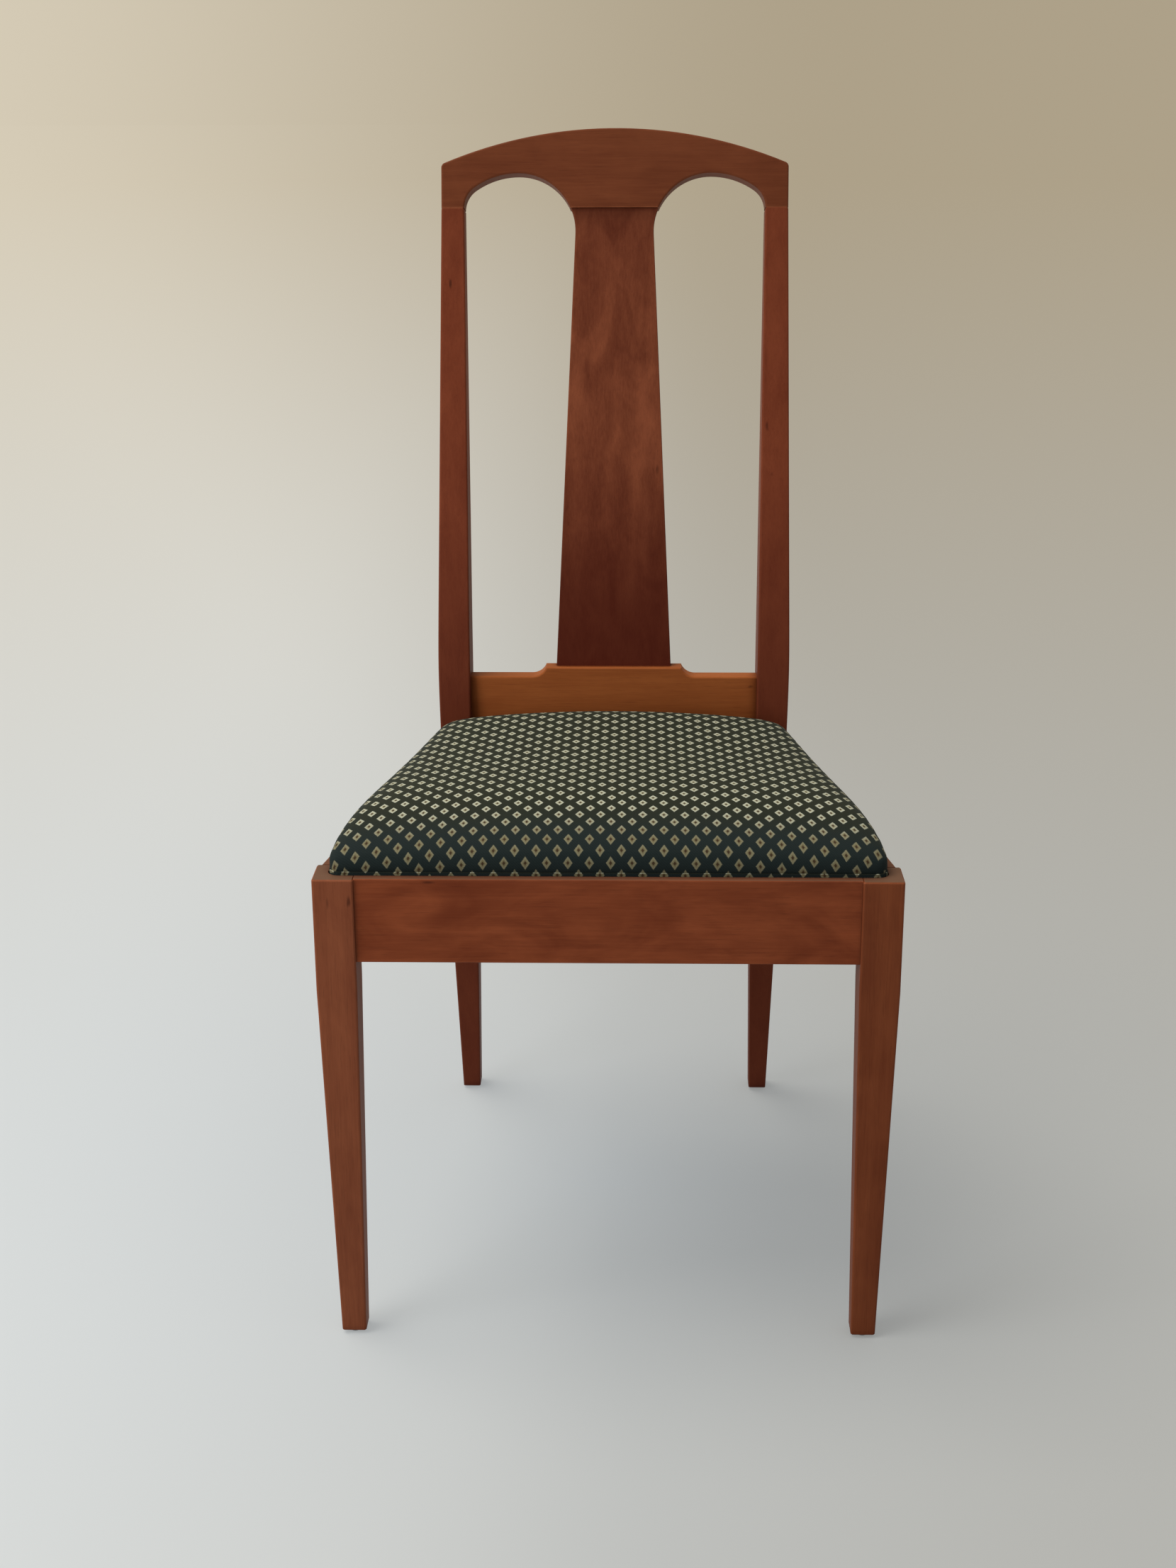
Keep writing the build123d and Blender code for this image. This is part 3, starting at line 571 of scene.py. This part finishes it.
def makeSkirt(size):
    # the cover's edge, turned down round the board: a profile of four corners carried along the outline
    outer, normal = roundedOutline(size, 0.0, size["skirtAround"])
    inner = outer - normal * size["skirtThick"]
    high, low = size["bottom"] + size["skirtHigh"], size["skirtLow"]
    rings = [np.column_stack([ring, np.full(len(ring), z)])
             for ring, z in ((outer, high), (outer, low), (inner, low), (inner, high))]
    count = len(outer)
    grid = np.arange(4 * count).reshape(4, count)
    below = np.roll(grid, -1, 0)
    quads = np.stack([grid, np.roll(grid, -1, 1), np.roll(below, -1, 1), below], axis=-1)
    points = np.vstack(rings)
    piece = newMesh("seatCoverEdge", points, quads.reshape(-1, 4)[:, ::-1])
    drop = size["bottom"] - points[:, 2]
    flaps = fabricPlace(size, np.column_stack([np.vstack([outer] * 4), np.full(len(points), size["bottom"])]))
    hang = np.vstack([normal] * 4) * drop[:, None]
    setMap(size, piece.data, "weave", *[flap + hang for flap in flaps])
    return piece


fabric = {
    "column": 0.01773, "row": 0.02156, "shift": (0.0023, 0.01183),
    "wide": 0.222, "tall": 0.265,             # half diamond, as shares of column and row
    "thread": 0.00055, "wobble": 0.22, "wobbleScale": 900.0,
    "diamondSpan": (1.04, 0.90), "bodySpan": (0.74, 0.56), "eyeSpan": (0.44, 0.26),
    "ribs": 260.0, "weft": 420.0, "ribShare": 0.6, "shadeRibs": 0.9, "shadeWeft": 0.22,
    "sideTilt": 0.6, "tiltSpan": (0.489, 0.026),   # slopes, as sines, where the cloth is all wall and all top
    # each colour as painted on the walls of the seat, darker and cooler in painted shade, and on its top, lighter and
    # warmer in painted light and sheen
    "ground": ((0.0075, 0.0132, 0.0135, 1), (0.0112, 0.0135, 0.0065, 1)),
    "groundLight": ((0.014, 0.021, 0.020, 1), (0.019, 0.021, 0.012, 1)),
    "straw": ((0.160, 0.132, 0.063, 1), (0.388, 0.366, 0.222, 1)),
    "cream": ((0.212, 0.192, 0.113, 1), (0.545, 0.548, 0.42, 1)),
    "eye": (0.045, 0.025, 0.012, 1),
    "bump": 0.55, "relief": 0.0004, "rough": (0.78, 0.92), "gloss": 0.12,
    "sheen": 0.05, "sheenRough": 0.45, "sheenTint": (0.75, 0.80, 0.62, 1),
}


def makeFabric(look):
    # staggered diamonds: |u| / wide + |v| / tall in each cell, the lesser of two lattices half a step apart
    material, tree, shader = newMaterial("diamondCloth")
    place = addNode(tree, "ShaderNodeUVMap", uv_map="weave")
    apart = addNode(tree, "ShaderNodeSeparateXYZ", {0: place.outputs[0]})
    across = calc(tree, "SUBTRACT", apart.outputs[0], look["shift"][0])
    along = calc(tree, "SUBTRACT", apart.outputs[1], look["shift"][1])
    stepX = calc(tree, "SNAP", across, look["thread"])
    stepY = calc(tree, "SNAP", along, look["thread"])
    wobble = noise(tree, place.outputs[0], look["wobbleScale"], 2.0)
    columns = calc(tree, "DIVIDE", stepX, look["column"])
    rows = calc(tree, "DIVIDE", stepY, look["row"])

    def diamond(offset):
        cellX = calc(tree, "ADD", columns, offset)
        cellY = calc(tree, "ADD", rows, offset)
        nearX = calc(tree, "ROUND", cellX)
        nearY = calc(tree, "ROUND", cellY)
        sideX = calc(tree, "DIVIDE", calc(tree, "ABSOLUTE", calc(tree, "SUBTRACT", cellX, nearX)), look["wide"])
        sideY = calc(tree, "DIVIDE", calc(tree, "ABSOLUTE", calc(tree, "SUBTRACT", cellY, nearY)), look["tall"])
        return calc(tree, "ADD", sideX, sideY), nearX, nearY

    first, firstX, firstY = diamond(0.0)
    second, secondX, secondY = diamond(0.5)
    reach = calc(tree, "MINIMUM", first, second)
    reach = calc(tree, "MULTIPLY_ADD", calc(tree, "SUBTRACT", wobble, 0.5), look["wobble"], reach)
    # any mix of the two lattices' cell numbers gives each diamond its own tone
    key = addNode(tree, "ShaderNodeCombineXYZ", {0: calc(tree, "ADD", firstX, calc(tree, "MULTIPLY", secondX, 0.37)),
                  1: calc(tree, "ADD", firstY, calc(tree, "MULTIPLY", secondY, 0.53))})
    lot = addNode(tree, "ShaderNodeTexWhiteNoise", {"Vector": key.outputs[0]}, noise_dimensions="3D")
    inDiamond, inBody, inEye = [spread(tree, reach, *look[key]) for key in ("diamondSpan", "bodySpan", "eyeSpan")]
    # threads: a fine twill, two sets of ribs that cross
    ribs = addNode(tree, "ShaderNodeTexWave", {"Vector": place.outputs[0], "Scale": look["ribs"],
                   "Distortion": 1.2, "Detail": 1.0}, wave_type="BANDS", bands_direction="DIAGONAL")
    weft = addNode(tree, "ShaderNodeTexWave", {"Vector": place.outputs[0], "Scale": look["weft"],
                   "Distortion": 0.8}, wave_type="BANDS", bands_direction="Y")
    twill = calc(tree, "MULTIPLY", weft.outputs["Fac"], 1 - look["ribShare"])
    twill = calc(tree, "MULTIPLY_ADD", ribs.outputs["Fac"], look["ribShare"], twill)
    # painted light and shade: the top takes the lighter colours and the walls the darker ones, by the slope of the
    # surface
    normal = addNode(tree, "ShaderNodeTexCoord").outputs["Normal"]
    level = stretch(tree, normal, look["sideTilt"], 1, 0)
    tilt = addNode(tree, "ShaderNodeVectorMath", {0: level}, operation="LENGTH").outputs["Value"]
    worn = spread(tree, tilt, *look["tiltSpan"])
    groundDark, groundLight, straw, cream = [blendColour(tree, worn, *look[key])
                                             for key in ("ground", "groundLight", "straw", "cream")]
    ground = blendColour(tree, calc(tree, "MULTIPLY", twill, look["shadeRibs"]), groundDark, groundLight)
    body = blendColour(tree, calc(tree, "MULTIPLY", lot.outputs["Value"], 0.5), straw, cream)
    figure = blendColour(tree, inBody, cream, body)
    figure = blendColour(tree, inEye, figure, look["eye"])
    figure = blendColour(tree, calc(tree, "MULTIPLY", weft.outputs["Fac"], look["shadeWeft"]), figure, look["eye"])
    colour = blendColour(tree, inDiamond, ground, figure)
    tree.links.new(colour, shader.inputs["Base Color"])
    height = calc(tree, "MULTIPLY_ADD", inDiamond, 0.5, calc(tree, "MULTIPLY", twill, 0.5))
    bump = addNode(tree, "ShaderNodeBump", {"Strength": look["bump"], "Distance": look["relief"], "Height": height})
    tree.links.new(bump.outputs[0], shader.inputs["Normal"])
    tree.links.new(spread(tree, twill, 0.0, 1.0, *look["rough"]), shader.inputs["Roughness"])
    for socket, key in (("Specular IOR Level", "gloss"), ("Sheen Weight", "sheen"),
                        ("Sheen Roughness", "sheenRough"), ("Sheen Tint", "sheenTint")):
        shader.inputs[socket].default_value = look[key]
    return material


seatPiece = makeCushion(cushion)
diamondCloth = makeFabric(fabric)
seatPiece.data.materials.append(diamondCloth)
skirtPiece = makeSkirt(cushion)
skirtPiece.data.materials.append(diamondCloth)
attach(skirtPiece, "loose_seat")
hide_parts("seat_cover", "seat_foam")
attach(seatPiece, "loose_seat")
print("cushion made:", len(seatPiece.data.vertices), "points")


# floor, light and camera

studio = {
    "paper": (0.45, 0.46, 0.46, 1),
    # painted light on the floor near the chair and on the backdrop: brighter to the left, darker to the right
    "nearLeft": (0.84, 0.92, 0.98, 1), "nearRight": (0.43, 0.445, 0.44, 1),
    "farLeft": (0.68, 0.61, 0.48, 1), "farRight": (0.42, 0.355, 0.25, 1),
    "nearSpan": (-0.8, 0.5), "farSpan": (-0.35, 0.1),      # from left to right
    "floorHalf": 40.0, "fade": 1.5, "fadeEnd": 0.93, "paintedGlow": 0.5, "glowFrom": 0.2,
    "skyLight": (0.56, 0.59, 0.62, 1), "skyPower": 0.82,
    "sunColour": (1.0, 0.96, 0.87), "sunPower": 2.1, "sunFrom": (-1.0, 0.1, 2.2), "sunSpread": 45.0,
    "sidePower": 6.5, "sidePlace": (-1.1, -0.85, 0.9), "sideSize": 0.7, "sideAim": (0, 0, 0.5),
    "sideColour": (0.96, 0.98, 1.0),
}


def seenDirectly(tree):
    # 1 for what the camera sees itself, in a reflection or through glass
    path = addNode(tree, "ShaderNodeLightPath").outputs
    mirrored = calc(tree, "MAXIMUM", path["Is Glossy Ray"], path["Is Transmission Ray"])
    return calc(tree, "MAXIMUM", path["Is Camera Ray"], mirrored)


def sideBlend(tree, place, left, right, start, end):
    apart = addNode(tree, "ShaderNodeSeparateXYZ", {0: place})
    return blendColour(tree, spread(tree, apart.outputs[0], start, end), left, right)


def makeFloor(look):
    # pale paper that runs into the backdrop's colour far behind the chair; for the camera it partly glows with
    # painted light, brighter to the left and darker to the right, which also lightens the chair's shadow on it
    half = look["floorHalf"]
    points = np.array([(-half, -half, 0), (half, -half, 0), (half, half, 0), (-half, half, 0)])
    floor = newMesh("paperFloor", points, np.array([[0, 1, 2, 3]]))
    material, tree, shader = newMaterial("palePaper")
    spot = addNode(tree, "ShaderNodeTexCoord").outputs["Object"]
    shader.inputs["Base Color"].default_value = look["paper"]
    shader.inputs["Roughness"].default_value = 0.9
    shader.inputs["Specular IOR Level"].default_value = 0.1
    bearing = addNode(tree, "ShaderNodeVectorMath", {0: spot}, operation="NORMALIZE").outputs[0]
    distance = addNode(tree, "ShaderNodeVectorMath", {0: spot}, operation="LENGTH").outputs["Value"]
    fade = calc(tree, "DIVIDE", distance, calc(tree, "ADD", distance, look["fade"]))
    fade = spread(tree, fade, 0.0, look["fadeEnd"], smooth=False)
    near = sideBlend(tree, spot, look["nearLeft"], look["nearRight"], *look["nearSpan"])
    far = sideBlend(tree, bearing, look["farLeft"], look["farRight"], *look["farSpan"])
    # painted light: the floor glows for the camera, at least by the glow share near the chair
    paintedGlow = addNode(tree, "ShaderNodeEmission", {"Color": blendColour(tree, fade, near, far)})
    share = spread(tree, fade, look["glowFrom"], 1.0, look["paintedGlow"], 1.0, False)
    share = calc(tree, "MULTIPLY", share, seenDirectly(tree))
    mix = addNode(tree, "ShaderNodeMixShader", {0: share, 1: shader.outputs[0], 2: paintedGlow.outputs[0]})
    tree.links.new(mix.outputs[0], tree.nodes["Material Output"].inputs["Surface"])
    floor.data.materials.append(material)


def makeLamp(name, power, size, place, target, colour):
    lamp = bpy.data.lights.new(name, "AREA")
    lamp.energy, lamp.size, lamp.color = power, size, colour
    holder = bpy.data.objects.new(name, lamp)
    holder.location = place
    holder.rotation_euler = (Vector(target) - Vector(place)).to_track_quat("-Z", "Y").to_euler()
    scene.collection.objects.link(holder)


def makeSun(look):
    lamp = bpy.data.lights.new("softSun", "SUN")
    lamp.energy, lamp.angle, lamp.color = look["sunPower"], radians(look["sunSpread"]), look["sunColour"]
    holder = bpy.data.objects.new("softSun", lamp)
    holder.rotation_euler = (-Vector(look["sunFrom"])).to_track_quat("-Z", "Y").to_euler()
    scene.collection.objects.link(holder)


def makeSky(look):
    world = bpy.data.worlds.new("studio")
    world.use_nodes = True
    scene.world = world
    tree = world.node_tree
    light = tree.nodes["Background"]
    light.inputs["Color"].default_value = look["skyLight"]
    light.inputs["Strength"].default_value = look["skyPower"]
    bearing = addNode(tree, "ShaderNodeTexCoord").outputs["Generated"]
    # painted light: the backdrop seen directly is brighter to the left and darker to the right
    backdrop = sideBlend(tree, bearing, look["farLeft"], look["farRight"], *look["farSpan"])
    seen = addNode(tree, "ShaderNodeBackground", {"Color": backdrop})
    mix = addNode(tree, "ShaderNodeMixShader", {0: seenDirectly(tree), 1: light.outputs[0], 2: seen.outputs[0]})
    tree.links.new(mix.outputs[0], tree.nodes["World Output"].inputs["Surface"])


makeFloor(studio)
makeSky(studio)
makeSun(studio)
makeLamp("sideFill", studio["sidePower"], studio["sideSize"], studio["sidePlace"], studio["sideAim"],
         studio["sideColour"])

view = {"place": (0.0253, -1.91573, 1.07328), "down": 18.712, "yaw": -1.431, "roll": 0.255, "lens": 48.825}


def makeCamera(look):
    down, yaw, roll = radians(look["down"]), radians(look["yaw"]), radians(look["roll"])
    ahead = Vector((sin(yaw) * cos(down), cos(yaw) * cos(down), -sin(down)))
    level = Vector((cos(yaw), -sin(yaw), 0))
    under = ahead.cross(level)
    right = cos(roll) * level + sin(roll) * under
    low = -sin(roll) * level + cos(roll) * under
    camera = bpy.data.objects.new("photoCamera", bpy.data.cameras.new("photoCamera"))
    camera.data.lens = look["lens"]
    turn = Matrix((right, -low, -ahead)).transposed()
    camera.matrix_world = Matrix.Translation(look["place"]) @ turn.to_4x4()
    scene.collection.objects.link(camera)
    scene.camera = camera


makeCamera(view)
print("stage set")
